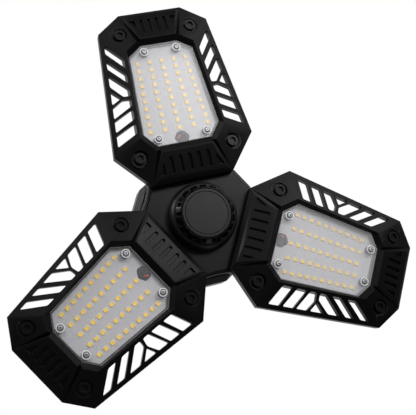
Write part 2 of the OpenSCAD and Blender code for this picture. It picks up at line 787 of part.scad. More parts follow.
screw_shell();
contact_insulator();
contact_tip();
base_collar();
rear_housing();
hub_cover();
vent_crown();
center_cap();
driver_board();
driver_parts();
board_screws();
cover_screws();
hub_wires();
bezel(0);  // bezel_a
bezel(1);  // bezel_b
bezel(2);  // bezel_c
heat_pan(0);  // heat_pan_a
heat_pan(1);  // heat_pan_b
heat_pan(2);  // heat_pan_c
led_board(0);  // led_board_a
led_board(1);  // led_board_b
led_board(2);  // led_board_c
leds(0);  // leds_a
leds(1);  // leds_b
leds(2);  // leds_c
gasket(0);  // gasket_a
gasket(1);  // gasket_b
gasket(2);  // gasket_c
lens(0);  // lens_a
lens(1);  // lens_b
lens(2);  // lens_c
lens_screws(0);  // lens_screws_a
lens_screws(1);  // lens_screws_b
lens_screws(2);  // lens_screws_c
bezel_bolts(0);  // bezel_bolts_a
bezel_bolts(1);  // bezel_bolts_b
bezel_bolts(2);  // bezel_bolts_c
hinge_arm(0);  // hinge_arm_a
hinge_arm(1);  // hinge_arm_b
hinge_arm(2);  // hinge_arm_c
arm_screws(0);  // arm_screws_a
arm_screws(1);  // arm_screws_b
arm_screws(2);  // arm_screws_c
hinge_pins(0);  // hinge_pins_a
hinge_pins(1);  // hinge_pins_b
hinge_pins(2);  // hinge_pins_c
friction_washers(0);  // friction_washers_a
friction_washers(1);  // friction_washers_b
friction_washers(2);  // friction_washers_c
leaf_wires(0);  // leaf_wires_a
leaf_wires(1);  // leaf_wires_b
leaf_wires(2);  // leaf_wires_c
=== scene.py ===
"""Looks of a three-leaf garage light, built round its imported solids.

The lamp hangs from a ceiling socket: +Z goes up into the socket and the light
leaves towards -Z. Three tapered leaves, named a, b and c, fold on a hub. The
camera looks up at the open lamp from below.
"""

from __future__ import annotations

import json
import logging
import math
from dataclasses import dataclass, field
from enum import Enum
from typing import Callable, Iterable, Sequence

import bpy
from mathutils import Matrix, Vector

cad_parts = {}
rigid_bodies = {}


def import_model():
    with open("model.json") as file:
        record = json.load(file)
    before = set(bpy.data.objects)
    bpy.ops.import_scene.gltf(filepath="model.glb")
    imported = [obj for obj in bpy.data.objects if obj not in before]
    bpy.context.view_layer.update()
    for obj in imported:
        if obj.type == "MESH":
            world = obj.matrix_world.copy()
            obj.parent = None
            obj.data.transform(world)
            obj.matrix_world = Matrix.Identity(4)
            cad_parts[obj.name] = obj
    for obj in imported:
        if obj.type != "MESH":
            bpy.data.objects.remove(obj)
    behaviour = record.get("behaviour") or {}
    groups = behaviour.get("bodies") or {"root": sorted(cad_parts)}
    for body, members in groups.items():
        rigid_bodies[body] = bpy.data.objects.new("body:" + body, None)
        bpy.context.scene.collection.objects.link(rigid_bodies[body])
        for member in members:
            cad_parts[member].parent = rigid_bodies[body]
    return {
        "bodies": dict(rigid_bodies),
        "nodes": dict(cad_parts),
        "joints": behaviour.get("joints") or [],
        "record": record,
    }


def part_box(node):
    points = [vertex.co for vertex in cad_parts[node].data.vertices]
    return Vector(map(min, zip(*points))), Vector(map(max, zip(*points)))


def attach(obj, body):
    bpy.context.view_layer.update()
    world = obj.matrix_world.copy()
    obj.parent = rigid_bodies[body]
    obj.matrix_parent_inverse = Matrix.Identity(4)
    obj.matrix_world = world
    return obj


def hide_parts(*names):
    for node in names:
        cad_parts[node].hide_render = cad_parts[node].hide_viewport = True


MM = 0.001
MERGE_DISTANCE = 0.004 * MM  # points nearer than this are one point
FACING = 0.9  # the least z part in the normal of a face that points up or down
WHITE = (1.0, 1.0, 1.0, 1.0)
LEAF_ANGLES = {"a": 90.0, "b": 210.0, "c": 330.0}  # degrees about the lamp's axis
LOG = logging.getLogger("garage_light")

Color = tuple[float, float, float]


# ---- shader graphs ---------------------------------------------------------


class Signal:
    """A node's output that takes part in sums and products."""

    def __init__(self, graph: Graph, socket: bpy.types.NodeSocket) -> None:
        """Wraps one output socket.

        Args:
            graph: The graph that new Math nodes are added to.
            socket: The output socket.
        """
        self.graph = graph
        self.socket = socket

    def _math(self, operation: str, *values: Signal | float) -> Signal:
        """Adds one Math node on the values."""
        return self.graph.node("ShaderNodeMath", {"operation": operation}, values)

    def __add__(self, other: Signal | float) -> Signal:
        """Sum."""
        return self._math("ADD", self, other)

    __radd__ = __add__

    def __sub__(self, other: Signal | float) -> Signal:
        """Difference."""
        return self._math("SUBTRACT", self, other)

    def __rsub__(self, other: float) -> Signal:
        """Difference from a number."""
        return self._math("SUBTRACT", other, self)

    def __mul__(self, other: Signal | float) -> Signal:
        """Product."""
        return self._math("MULTIPLY", self, other)

    __rmul__ = __mul__

    def fold(self, size: float) -> Signal:
        """Triangle wave that runs between 0 and size."""
        return self._math("PINGPONG", self, size)

    def over(self, level: float) -> Signal:
        """1 where the signal is over the level, and 0 elsewhere."""
        return self._math("GREATER_THAN", self, level)

    def highest(self, other: Signal | float) -> Signal:
        """The greater of the two."""
        return self._math("MAXIMUM", self, other)

    def lowest(self, other: Signal | float) -> Signal:
        """The smaller of the two."""
        return self._math("MINIMUM", self, other)


class Graph:
    """The node tree of one material or world."""

    def __init__(self, tree: bpy.types.NodeTree) -> None:
        """Starts from an empty tree."""
        self.tree = tree
        tree.nodes.clear()

    def feed(self, socket: bpy.types.NodeSocket, value: object) -> None:
        """Links a signal to a socket, or sets the socket's own value.

        Args:
            socket: The input socket.
            value: A Signal, a number, or a sequence of numbers.
        """
        if isinstance(value, Signal):
            self.tree.links.new(value.socket, socket)
        else:
            socket.default_value = value

    def node(
        self,
        kind: str,
        settings: dict[str, object] | None = None,
        inputs: dict[str, object] | Sequence[object] = (),
        output: str | int = 0,
    ) -> Signal | None:
        """Adds a node.

        Args:
            kind: The node's type.
            settings: Properties, set before the sockets.
            inputs: Socket values or links, by name or in order.
            output: The output that the signal wraps.

        Returns:
            The chosen output, or None if the node has no outputs.
        """
        made = self.tree.nodes.new(kind)
        for key, value in (settings or {}).items():
            setattr(made, key, value)
        pairs = inputs.items() if isinstance(inputs, dict) else enumerate(inputs)
        for key, value in pairs:
            self.feed(made.inputs[key], value)
        return Signal(self, made.outputs[output]) if made.outputs else None

    def mix_colors(self, factor: Signal, first: Color, second: Color) -> Signal:
        """Mixes two colours.

        Args:
            factor: 0 gives the first colour and 1 the second.
            first: Linear red, green and blue.
            second: Linear red, green and blue.

        Returns:
            The mixed colour.
        """
        made = self.tree.nodes.new("ShaderNodeMix")
        made.data_type = "RGBA"
        # The node has sockets for each type of data; 6 and 7 in and 2 out are the colours.
        self.feed(made.inputs[0], factor)
        made.inputs[6].default_value = (*first, 1.0)
        made.inputs[7].default_value = (*second, 1.0)
        return Signal(self, made.outputs[2])

    def place(self) -> Signal:
        """The point's place in the lamp's frame."""
        return self.node("ShaderNodeTexCoord", output="Object")

    def noise(self, scale: float, detail: float) -> Signal:
        """Adds soft noise.

        Args:
            scale: Its cycles in a metre.
            detail: How many finer layers it has.

        Returns:
            The noise, about 0.5 on average.
        """
        inputs = {"Vector": self.place(), "Scale": scale, "Detail": detail}
        return self.node("ShaderNodeTexNoise", None, inputs)

    def rounded(self, radius: float) -> Signal:
        """The normal, as if the edges were rounded to a radius."""
        return self.node("ShaderNodeBevel", {"samples": 6}, {"Radius": radius})

    def bump(
        self, strength: float, depth: float, height: Signal, normal: Signal | None = None
    ) -> Signal:
        """Adds relief to a normal.

        Args:
            strength: How much of the relief shows.
            depth: Its depth in metres.
            height: The pattern, between 0 and 1.
            normal: The normal that it starts from, or None for the surface's own.

        Returns:
            The new normal.
        """
        inputs: dict[str, object] = {"Strength": strength, "Distance": depth, "Height": height}
        if normal is not None:
            inputs["Normal"] = normal
        return self.node("ShaderNodeBump", None, inputs)


# ---- finishes --------------------------------------------------------------


@dataclass(frozen=True)
class Finish:
    """A smooth finish: one colour with a slow change of tone and gloss."""

    name: str
    color: Color
    roughness: float
    metallic: float = 0.0
    specular: float = 0.5
    cloud_scale: float = 220.0
    cloud_detail: float = 3.0
    cloud_tone: float = 0.9
    cloud_gloss: float = 0.1

    def material(self) -> bpy.types.Material:
        """Makes the material, unless it is there already.

        Returns:
            The material.
        """
        made = bpy.data.materials.get(self.name)
        if made:
            return made
        made = bpy.data.materials.new(self.name)
        made.use_nodes = True
        made.diffuse_color = (*self.color, 1.0)
        graph = Graph(made.node_tree)
        shader = graph.tree.nodes.new("ShaderNodeBsdfPrincipled")
        graph.feed(shader.inputs["Base Color"], (*self.color, 1.0))
        graph.feed(shader.inputs["Roughness"], self.roughness)
        graph.feed(shader.inputs["Metallic"], self.metallic)
        graph.feed(shader.inputs["Specular IOR Level"], self.specular)
        self.refine(graph, shader.inputs)
        shown = self.surface(graph, Signal(graph, shader.outputs[0]))
        graph.node("ShaderNodeOutputMaterial", None, [shown])
        return made

    def surface(self, graph: Graph, shaded: Signal) -> Signal:
        """What reaches the output: here the shader alone.

        Args:
            graph: The material's graph.
            shaded: The shader's output.

        Returns:
            The surface to show.
        """
        return shaded

    def cloud(self, graph: Graph, inputs: bpy.types.NodeInputs) -> Signal:
        """Darkens the colour in soft clouds.

        Args:
            graph: The material's graph.
            inputs: The shader's inputs.

        Returns:
            The roughness, which changes with the clouds.
        """
        cloud = graph.noise(self.cloud_scale, self.cloud_detail)
        darker = tuple(self.cloud_tone * c for c in self.color)
        graph.feed(inputs["Base Color"], graph.mix_colors(cloud, darker, self.color))
        return self.roughness + self.cloud_gloss * (cloud - 0.5)

    def refine(self, graph: Graph, inputs: bpy.types.NodeInputs) -> None:
        """Adds what varies over the surface: here the clouds alone."""
        graph.feed(inputs["Roughness"], self.cloud(graph, inputs))


@dataclass(frozen=True)
class Moulded(Finish):
    """Moulded plastic with a fine spark-eroded grain and rounded edges."""

    cloud_scale: float = 45.0
    cloud_tone: float = 0.82
    cloud_gloss: float = 0.12
    grain_size: float = 0.7 * MM
    grain_detail: float = 2.0
    grain_gloss: float = 0.06
    grain_strength: float = 0.12
    grain_depth: float = 0.05 * MM
    edge_radius: float = 0.6 * MM

    def refine(self, graph: Graph, inputs: bpy.types.NodeInputs) -> None:
        """Adds the clouds, the grain and the rounded edges.

        Args:
            graph: The material's graph.
            inputs: The shader's inputs.
        """
        grain = graph.noise(1 / self.grain_size, self.grain_detail)
        gloss = self.cloud(graph, inputs)
        graph.feed(inputs["Roughness"], gloss + self.grain_gloss * (grain - 0.5))
        rounded = graph.rounded(self.edge_radius)
        bump = graph.bump(self.grain_strength, self.grain_depth, grain, rounded)
        graph.feed(inputs["Normal"], bump)


@dataclass(frozen=True)
class Metal(Finish):
    """Metal with faint stains and a very fine grain."""

    metallic: float = 1.0
    cloud_scale: float = 160.0
    cloud_detail: float = 4.0
    cloud_tone: float = 0.8
    cloud_gloss: float = 0.15
    grain_scale: float = 1800.0
    grain_detail: float = 2.0
    grain_strength: float = 0.08
    grain_depth: float = 0.03 * MM

    def refine(self, graph: Graph, inputs: bpy.types.NodeInputs) -> None:
        """Adds the stains and the grain.

        Args:
            graph: The material's graph.
            inputs: The shader's inputs.
        """
        graph.feed(inputs["Roughness"], self.cloud(graph, inputs))
        grain = graph.noise(self.grain_scale, self.grain_detail)
        graph.feed(inputs["Normal"], graph.bump(self.grain_strength, self.grain_depth, grain))


@dataclass(frozen=True)
class PrismPlate(Finish):
    """Clear plastic with a fine grid of prisms, turned to its leaf."""

    turn: float = 0.0
    pitch: float = 1.25 * MM
    ridge_level: float = 0.8
    relief_strength: float = 0.35
    relief_depth: float = 0.12 * MM
    haze: float = 0.01
    ridge_haze: float = 0.07
    edge_haze: float = 2.2
    slant_haze: float = 2.2
    most_slant_haze: float = 0.22
    edge_radius: float = 0.7 * MM

    def refine(self, graph: Graph, inputs: bpy.types.NodeInputs) -> None:
        """Adds the grid to the surface and to how much passes through it.

        Args:
            graph: The material's graph.
            inputs: The shader's inputs.
        """
        turned = graph.node(
            "ShaderNodeMapping",
            None,
            {"Vector": graph.place(), "Rotation": (0.0, 0.0, -self.turn)},
        )
        split = graph.tree.nodes.new("ShaderNodeSeparateXYZ")
        graph.feed(split.inputs[0], turned)
        half = self.pitch / 2
        waves = [Signal(graph, split.outputs[k]).fold(half) * (1 / half) for k in (0, 1)]
        ridges = waves[0].over(self.ridge_level).highest(waves[1].over(self.ridge_level))
        normals = (graph.rounded(self.edge_radius), graph.node("ShaderNodeNewGeometry", output="Normal"))
        level = graph.node("ShaderNodeVectorMath", {"operation": "DOT_PRODUCT"}, normals, "Value")
        slant = graph.node("ShaderNodeLayerWeight", None, {"Blend": 0.5}, "Facing")
        seen = 1 - graph.node("ShaderNodeLightPath", output="Is Shadow Ray")
        across = (self.slant_haze * slant).lowest(self.most_slant_haze) * seen
        edges = self.edge_haze * (1 - level)
        graph.feed(inputs["Alpha"], self.haze + self.ridge_haze * ridges + edges + across)
        height = (waves[0] + waves[1]) * 0.5
        graph.feed(inputs["Normal"], graph.bump(self.relief_strength, self.relief_depth, height))


@dataclass(frozen=True)
class ClearRim(Finish):
    """Thick clear plastic that shows paler than the plate round it."""

    cover: float = 0.8

    def refine(self, graph: Graph, inputs: bpy.types.NodeInputs) -> None:
        """Lets a part of what lies behind show through.

        Args:
            graph: The material's graph.
            inputs: The shader's inputs.
        """
        super().refine(graph, inputs)
        graph.feed(inputs["Alpha"], self.cover)


@dataclass(frozen=True)
class StudioFloor(Finish):
    """Pale floor that looks nearly white and lights the lamp no more for it."""

    pale: float = 0.7

    def surface(self, graph: Graph, shaded: Signal) -> Signal:
        """Mixes in white where the camera looks at the floor itself.

        Args:
            graph: The material's graph.
            shaded: The shader's output.

        Returns:
            The mixed surface.
        """
        path = graph.tree.nodes.new("ShaderNodeLightPath")
        seen = Signal(graph, path.outputs["Is Camera Ray"])
        white = graph.node("ShaderNodeEmission", None, {"Color": WHITE, "Strength": 1.0})
        return graph.node("ShaderNodeMixShader", None, [self.pale * seen, shaded, white])


@dataclass(frozen=True)
class SolderMask(Finish):
    """Lacquered circuit board with tracks under the lacquer."""

    track: Color = (0.78, 0.78, 0.74)
    track_half_width: float = 0.06
    pitch: float = 7.0 * MM
    relief_strength: float = 0.15
    relief_depth: float = 0.03 * MM

    def refine(self, graph: Graph, inputs: bpy.types.NodeInputs) -> None:
        """Adds the tracks to the colour and to the surface.

        Args:
            graph: The material's graph.
            inputs: The shader's inputs.
        """
        cells = graph.node(
            "ShaderNodeTexVoronoi",
            {"feature": "DISTANCE_TO_EDGE", "distance": "EUCLIDEAN"},
            {"Vector": graph.place(), "Scale": 1 / self.pitch},
            "Distance",
        )
        lines = 1 - cells.over(self.track_half_width)
        graph.feed(inputs["Base Color"], graph.mix_colors(lines, self.color, self.track))
        graph.feed(inputs["Normal"], graph.bump(self.relief_strength, self.relief_depth, lines))


class Finishes:
    """Every finish of the lamp."""

    BLACK = Moulded("satin_black_plastic", (0.0017, 0.0016, 0.0017), 0.38, specular=0.1)
    BLACK_HUB = Moulded(
        "black_hub_plastic", (0.0045, 0.0039, 0.0042), 0.4, specular=0.145, grain_strength=0.2
    )
    BLACK_CAP = Moulded(
        "black_cap_plastic", (0.006, 0.005, 0.0055), 0.4, specular=0.2, edge_radius=0.3 * MM
    )
    BLACK_GLOSS = Moulded(
        "black_crown_plastic", (0.0012, 0.0012, 0.0012), 0.24, specular=0.09, edge_radius=0.3 * MM
    )
    BLACK_STEEL = Metal("black_oxide_steel", (0.0018, 0.0018, 0.002), 0.34, metallic=0.0, specular=0.1)
    ANODISED = Moulded(
        "black_anodised_cast", (0.012, 0.012, 0.0125), 0.42, specular=0.5, grain_size=0.35 * MM
    )
    ARM = Moulded("black_coated_arm", (0.03, 0.03, 0.031), 0.4, specular=0.5)
    STEEL = Metal("zinc_steel", (0.42, 0.43, 0.45), 0.42)
    DULL_STEEL = Metal("dull_zinc", (0.34, 0.34, 0.355), 0.46)
    NICKEL = Metal("nickel_shell", (0.74, 0.71, 0.64), 0.24, cloud_gloss=0.1)
    BRASS = Metal("tinned_contact", (0.72, 0.66, 0.52), 0.35)
    WASHER = Metal("bronze_washer", (0.62, 0.46, 0.24), 0.38)
    BOARD = SolderMask("white_board", (0.47, 0.465, 0.49), 0.45, track=(0.45, 0.445, 0.47))
    PAD = Finish("tinned_pad", (0.7, 0.58, 0.36), 0.45)
    PACKAGE = Finish("diode_package", (0.96, 0.72, 0.24), 0.4)
    PHOSPHOR = Finish("yellow_phosphor", (1.0, 0.66, 0.08), 0.35)
    RIM = ClearRim("clear_rim", (0.9, 0.91, 0.93), 0.2)
    O_RING = Moulded("grey_o_ring", (0.09, 0.09, 0.095), 0.6, specular=0.2, grain_size=0.3 * MM)
    # Black of the lump on each wire hole: the sealant's colour and painted shade of the hole.
    SEALANT_HOLE_SHADE = Moulded(
        "black_sealant_painted_hole_shade", (0.003, 0.003, 0.003), 0.5, specular=0.1, grain_size=1.1 * MM
    )
    BLACK_WIRE = Finish("black_wire", (0.01, 0.01, 0.01), 0.4)
    # Dark gasket: its own dark colour and painted shade along the lens edges.
    SILICONE_EDGE_SHADE = Finish("dark_silicone_painted_edge_shade", (0.035, 0.035, 0.038), 0.6)
    WIRE = Finish("red_wire", (0.62, 0.035, 0.03), 0.4)
    GREEN_BOARD = SolderMask(
        "green_board", (0.03, 0.16, 0.06), 0.35, track=(0.05, 0.24, 0.09), pitch=3 * MM
    )
    DRIVER = Finish("driver_sleeves", (0.05, 0.055, 0.07), 0.4)


# ---- modelling by hand -----------------------------------------------------


class Shade(Enum):
    """How a finished piece is shaded."""

    FLAT = "flat"
    BY_ANGLE = "by_angle"


class Bench:
    """Steps that each piece goes through on the bench."""

    @staticmethod
    def clear() -> None:
        """Leaves edit mode and deselects everything."""
        if bpy.context.object and bpy.context.object.mode != "OBJECT":
            bpy.ops.object.mode_set(mode="OBJECT")
        for obj in list(bpy.context.selected_objects):
            obj.select_set(False)

    @classmethod
    def take(cls, *pieces: bpy.types.Object) -> None:
        """Selects the pieces alone, with the first one active.

        Args:
            pieces: The pieces.
        """
        cls.clear()
        for piece in pieces:
            piece.select_set(True)
        bpy.context.view_layer.objects.active = pieces[0]

    @classmethod
    def copy_of(cls, source: bpy.types.Object, name: str) -> bpy.types.Object:
        """Copies an object with a mesh of its own.

        Args:
            source: The object to copy.
            name: The name of the copy.

        Returns:
            The copy, free of parents and finishes.
        """
        made = bpy.data.objects.new(name, source.data.copy())
        made.data.name = name
        made.data.materials.clear()
        bpy.context.scene.collection.objects.link(made)
        return made

    @classmethod
    def edit(cls, piece: bpy.types.Object, *steps: Callable[[], object], select: bool = True) -> None:
        """Runs edit-mode steps on a piece.

        Args:
            piece: The piece.
            steps: Calls that run in edit mode, in order.
            select: Whether everything is selected first; if not, the selection stays.
        """
        cls.take(piece)
        bpy.ops.object.mode_set(mode="EDIT")
        if select:
            bpy.ops.mesh.select_all(action="SELECT")
        for step in steps:
            step()
        bpy.ops.object.mode_set(mode="OBJECT")

    @classmethod
    def pick_faces(
        cls, piece: bpy.types.Object, test: Callable[[bpy.types.MeshPolygon], bool]
    ) -> None:
        """Selects the faces that pass a test, and nothing else.

        Args:
            piece: The piece, in object mode.
            test: Says whether a face is wanted.
        """
        cls.edit(piece, lambda: bpy.ops.mesh.select_all(action="DESELECT"))
        for face in piece.data.polygons:
            face.select = test(face)

    @classmethod
    def apply(cls, piece: bpy.types.Object, kind: str, **settings: object) -> None:
        """Adds a modifier and applies it.

        Args:
            piece: The piece.
            kind: The modifier's type.
            settings: The modifier's properties.
        """
        cls.take(piece)
        modifier = piece.modifiers.new(kind.lower(), kind)
        for key, value in settings.items():
            setattr(modifier, key, value)
        bpy.ops.object.modifier_apply(modifier=modifier.name)

    @classmethod
    def join(cls, pieces: Sequence[bpy.types.Object], name: str) -> bpy.types.Object:
        """Joins pieces into the first one.

        Args:
            pieces: The pieces.
            name: The name of the result.

        Returns:
            The joined piece.
        """
        cls.take(*pieces)
        if len(pieces) > 1:
            bpy.ops.object.join()
        pieces[0].name = name
        pieces[0].data.name = name
        return pieces[0]

    @classmethod
    def settle(cls, piece: bpy.types.Object, place: Matrix | None = None) -> None:
        """Moves a piece's place into its mesh, so that its object sits at the origin.

        Args:
            piece: The piece.
            place: A further move, in the lamp's frame.
        """
        cls.take(piece)
        bpy.ops.object.transform_apply(location=True, rotation=True, scale=True)
        if place is not None:
            piece.matrix_world = place
            bpy.ops.object.transform_apply(location=True, rotation=True, scale=True)

    @classmethod
    def shade(cls, piece: bpy.types.Object, way: Shade = Shade.BY_ANGLE, degrees: float = 32.0) -> None:
        """Shades a piece flat, or smooth up to an angle.

        Args:
            piece: The piece.
            way: How it is shaded.
            degrees: The greatest angle between two faces that is smoothed.
        """
        cls.take(piece)
        if way is Shade.FLAT:
            bpy.ops.object.shade_flat()
        else:
            bpy.ops.object.shade_smooth_by_angle(angle=math.radians(degrees))

    @classmethod
    def paint(cls, piece: bpy.types.Object, *finishes: Finish) -> None:
        """Gives a piece its finishes, one slot for each.

        Args:
            piece: The piece.
            finishes: Its finishes, the main one first.
        """
        piece.data.materials.clear()
        for finish in finishes:
            piece.data.materials.append(finish.material())


@dataclass
class Station:
    """Where the finished pieces go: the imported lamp."""

    nodes: dict[str, bpy.types.Object]
    slots: dict[str, str]
    bodies: dict[str, str]
    flat_angle: float = math.radians(1.5)
    sharp_angle: float = math.radians(28)
    normal_weight: int = 60

    @classmethod
    def from_frame(cls, frame: dict[str, object]) -> Station:
        """Reads the nodes, their bodies and their slots.


        Returns:
            The station.
        """
        record = frame["record"]
        slots = {part["node"]: part["material_slot"] for part in record["subparts"]}
        groups = record["behaviour"]["bodies"]
        bodies = {node: body for body, members in groups.items() for node in members}
        return cls(frame["nodes"], slots, bodies)

    def dress(self, node: str, finish: Finish) -> None:
        """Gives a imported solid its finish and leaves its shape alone.

        Args:
            node: The solid's name.
            finish: Its finish.
        """
        solid = self.nodes[node]
        material = finish.material()
        if not solid.material_slots:
            solid.data.materials.append(material)
        for slot in solid.material_slots:
            slot.material = material
        LOG.info("dressed %s", node)

    def stand_in(self, piece: bpy.types.Object, *nodes: str) -> None:
        """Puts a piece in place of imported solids, on their body.

        Args:
            piece: The finished piece.
            nodes: The solids that it stands for, all on one body.
        """
        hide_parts(*nodes)
        self.add(piece, self.bodies[nodes[0]], self.slots[nodes[0]])

    def add(self, piece: bpy.types.Object, body: str, slot: str) -> None:
        """Lets a piece ride on a body.

        Args:
            piece: The finished piece.
            body: The body's name.
            slot: The record's slot; not used.
        """
        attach(piece, body)
        LOG.info("made %s: %d faces", piece.name, len(piece.data.polygons))

    def crisp(self, node: str, name: str, bevel: float, segments: int = 2) -> bpy.types.Object:
        """Copies a solid as one clean mesh and rounds its sharp edges.

        Args:
            node: The solid's name.
            name: The piece's name.
            bevel: The width of the rounded edges.
            segments: The steps across a rounded edge.

        Returns:
            The piece, not yet in place.
        """
        piece = Bench.copy_of(self.nodes[node], name)
        Bench.edit(
            piece,
            lambda: bpy.ops.mesh.remove_doubles(threshold=MERGE_DISTANCE),
            lambda: bpy.ops.mesh.dissolve_limited(angle_limit=self.flat_angle),
        )
        Bench.apply(
            piece,
            "BEVEL",
            width=bevel,
            segments=segments,
            limit_method="ANGLE",
            angle_limit=self.sharp_angle,
            use_clamp_overlap=True,
            miter_outer="MITER_SHARP",
            harden_normals=False,
        )
        Bench.shade(piece)
        Bench.apply(piece, "WEIGHTED_NORMAL", keep_sharp=True, weight=self.normal_weight)
        return piece

    def remake(
        self, node: str, name: str, bevel: float, finish: Finish, segments: int = 2
    ) -> None:
        """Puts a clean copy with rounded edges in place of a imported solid.

        Args:
            node: The solid's name.
            name: The piece's name.
            bevel: The width of the rounded edges.
            finish: The piece's finish.
            segments: The steps across a rounded edge.
        """
        piece = self.crisp(node, name, bevel, segments)
        Bench.paint(piece, finish)
        self.stand_in(piece, node)


# ---- the leaves ------------------------------------------------------------


@dataclass
class Leaf:
    """One leaf: bezel, lens, board with diodes and wires, heat pan, arm and fasteners.

    The leaf's frame has x away from the lamp's axis, y across, and z the way the
    light leaves, with 0 at the outer edge of the bezel's face.
    """

    letter: str
    angle: float
    edge_depth: float = 88.8 * MM
    lens_front: float = 3.5 * MM
    board_front: float = -2.0 * MM
    screw_places: tuple[tuple[float, float], ...] = ((72.8 * MM, 22.2 * MM), (152.5 * MM, 14.9 * MM))
    screw_head_radius: float = 2.2 * MM
    screw_head_height: float = 1.3 * MM
    o_ring_gap: float = 0.15 * MM
    o_ring_half_width: float = 0.35 * MM
    rim_radius: float = 3.25 * MM
    rim_half_width: float = 0.45 * MM
    rim_rise: float = 0.05 * MM
    phosphor_border: float = 0.15 * MM
    phosphor_slope: float = 0.08 * MM
    phosphor_depth: float = 0.15 * MM
    pad_size: tuple[float, float, float] = (4.6 * MM, 4.0 * MM, 0.3 * MM)
    pad_bevel: float = 0.1 * MM
    # Place and size of the black lump that carries the painted shade of the wire hole.
    sealant_shade_centre: tuple[float, float] = (71.9 * MM, 0.0)
    sealant_shade_radii: tuple[float, float, float] = (6.0 * MM, 6.4 * MM, 1.0 * MM)
    sealant_shade_lump_size: float = 3.5 * MM
    sealant_shade_lump_height: float = 2.4 * MM
    bevels: dict[str, float] = field(
        default_factory=lambda: {
            "bezel": 0.45 * MM,
            "bezel_bolts": 0.3 * MM,
            "lens": 0.3 * MM,
            "heat_pan": 0.3 * MM,
            "hinge_arm": 0.4 * MM,
            "hinge_pins": 0.35 * MM,
        }
    )

    @property
    def place(self) -> Matrix:
        """The leaf's frame in the lamp's frame.

        Returns:
            The move from the leaf's frame to the lamp's.
        """
        turn = Matrix.Rotation(math.radians(self.angle), 4, "Z")
        drop = Matrix.Translation((0, 0, -self.edge_depth))
        return turn @ drop @ Matrix.Rotation(math.pi, 4, "X")

    def node(self, part: str) -> str:
        """The name of this leaf's solid."""
        return f"{part}_{self.letter}"

    def build(self, station: Station) -> None:
        """Makes and places every piece of the leaf.

        Args:
            station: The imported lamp.
        """
        self.make_bezel(station)
        self.make_lens(station)
        self.make_diodes(station)
        self.make_screws(station)
        self.make_metal(station)
        self.make_wires(station)
        self.make_sealant_hole_shade(station)
        station.dress(self.node("arm_screws"), Finishes.STEEL)
        station.dress(self.node("led_board"), Finishes.BOARD)
        # The gasket's dark is also painted shade along the lens edges.
        station.dress(self.node("gasket"), Finishes.SILICONE_EDGE_SHADE)
        station.dress(self.node("friction_washers"), Finishes.WASHER)

    def remake(
        self, station: Station, part: str, name: str, finish: Finish, segments: int = 2
    ) -> None:
        """Puts a clean copy with rounded edges in place of one of the leaf's solids.

        Args:
            station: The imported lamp.
            part: The solid's name without the leaf's letter.
            name: The piece's name without the leaf's letter.
            finish: The piece's finish.
            segments: The steps across a rounded edge.
        """
        piece = f"{name}_{self.letter}"
        station.remake(self.node(part), piece, self.bevels[part], finish, segments)

    def make_bezel(self, station: Station) -> None:
        """Makes the latticed frame and its bolts."""
        self.remake(station, "bezel", "bezel_shell", Finishes.BLACK)
        self.remake(station, "bezel_bolts", "socket_bolts", Finishes.BLACK_STEEL, segments=3)

    def make_lens(self, station: Station) -> None:
        """Makes the clear plate with a raised ring round each screw.

        Args:
            station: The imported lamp.
        """
        plate = station.crisp(self.node("lens"), f"prism_plate_{self.letter}", self.bevels["lens"])
        turn = math.radians(self.angle)
        Bench.paint(plate, PrismPlate(plate.name, (0.58, 0.58, 0.6), 0.16, specular=0.3, turn=turn))
        Bench.clear()
        bpy.ops.mesh.primitive_torus_add(
            major_segments=40,
            minor_segments=10,
            major_radius=self.rim_radius,
            minor_radius=self.rim_half_width,
        )
        rim = bpy.context.object
        Bench.shade(rim)
        Bench.paint(rim, Finishes.RIM)
        rims = self.copies(rim, self.screw_spots(self.lens_front + self.rim_rise))
        station.stand_in(Bench.join([plate, *rims], plate.name), self.node("lens"))

    def screw_spots(self, level: float) -> list[Vector]:
        """The places of the lens screws at a level of the leaf."""
        return [Vector((x, side * half, level)) for x, half in self.screw_places for side in (-1, 1)]

    def copies(self, model: bpy.types.Object, spots: Iterable[Vector]) -> list[bpy.types.Object]:
        """Puts a copy of a model on each spot and removes the model.

        Args:
            model: The piece to copy, at the origin.
            spots: Places in the leaf.

        Returns:
            The copies, with the model's finishes.
        """
        finishes = list(model.data.materials)
        made = []
        for spot in spots:
            one = Bench.copy_of(model, model.name)
            for finish in finishes:
                one.data.materials.append(finish)
            Bench.settle(one, self.place @ Matrix.Translation(spot))
            made.append(one)
        bpy.data.objects.remove(model)
        return made

    def make_diodes(self, station: Station) -> None:
        """Gives each diode a sunk field of phosphor and a tinned pad on the board.

        Args:
            station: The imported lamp.
        """
        diodes = Bench.copy_of(station.nodes[self.node("leds")], f"diodes_{self.letter}")
        Bench.paint(diodes, Finishes.PACKAGE, Finishes.PHOSPHOR)
        Bench.edit(
            diodes,
            lambda: bpy.ops.mesh.remove_doubles(threshold=MERGE_DISTANCE),
            lambda: bpy.ops.mesh.dissolve_limited(angle_limit=math.radians(1)),
        )
        Bench.pick_faces(diodes, lambda face: face.normal.z < -FACING)
        to_leaf = self.place.inverted()
        fronts = [to_leaf @ face.center for face in diodes.data.polygons if face.select]
        spots = [Vector((front.x, front.y, self.board_front)) for front in fronts]
        border, slope, depth = self.phosphor_border, self.phosphor_slope, self.phosphor_depth
        Bench.edit(
            diodes,
            lambda: bpy.ops.mesh.inset(thickness=border, depth=0.0, use_individual=True),
            lambda: bpy.ops.mesh.inset(thickness=slope, depth=-depth, use_individual=True),
            select=False,
        )
        for face in diodes.data.polygons:
            if face.select:
                face.material_index = 1
        Bench.shade(diodes, Shade.FLAT)
        Bench.clear()
        bpy.ops.mesh.primitive_cube_add(size=1, scale=self.pad_size)
        pad = bpy.context.object
        Bench.settle(pad)
        Bench.edit(
            pad, lambda: bpy.ops.mesh.bevel(offset=self.pad_bevel, segments=2, affect="EDGES")
        )
        Bench.shade(pad)
        Bench.paint(pad, Finishes.PAD)
        station.stand_in(Bench.join([diodes, *self.copies(pad, spots)], diodes.name), self.node("leds"))

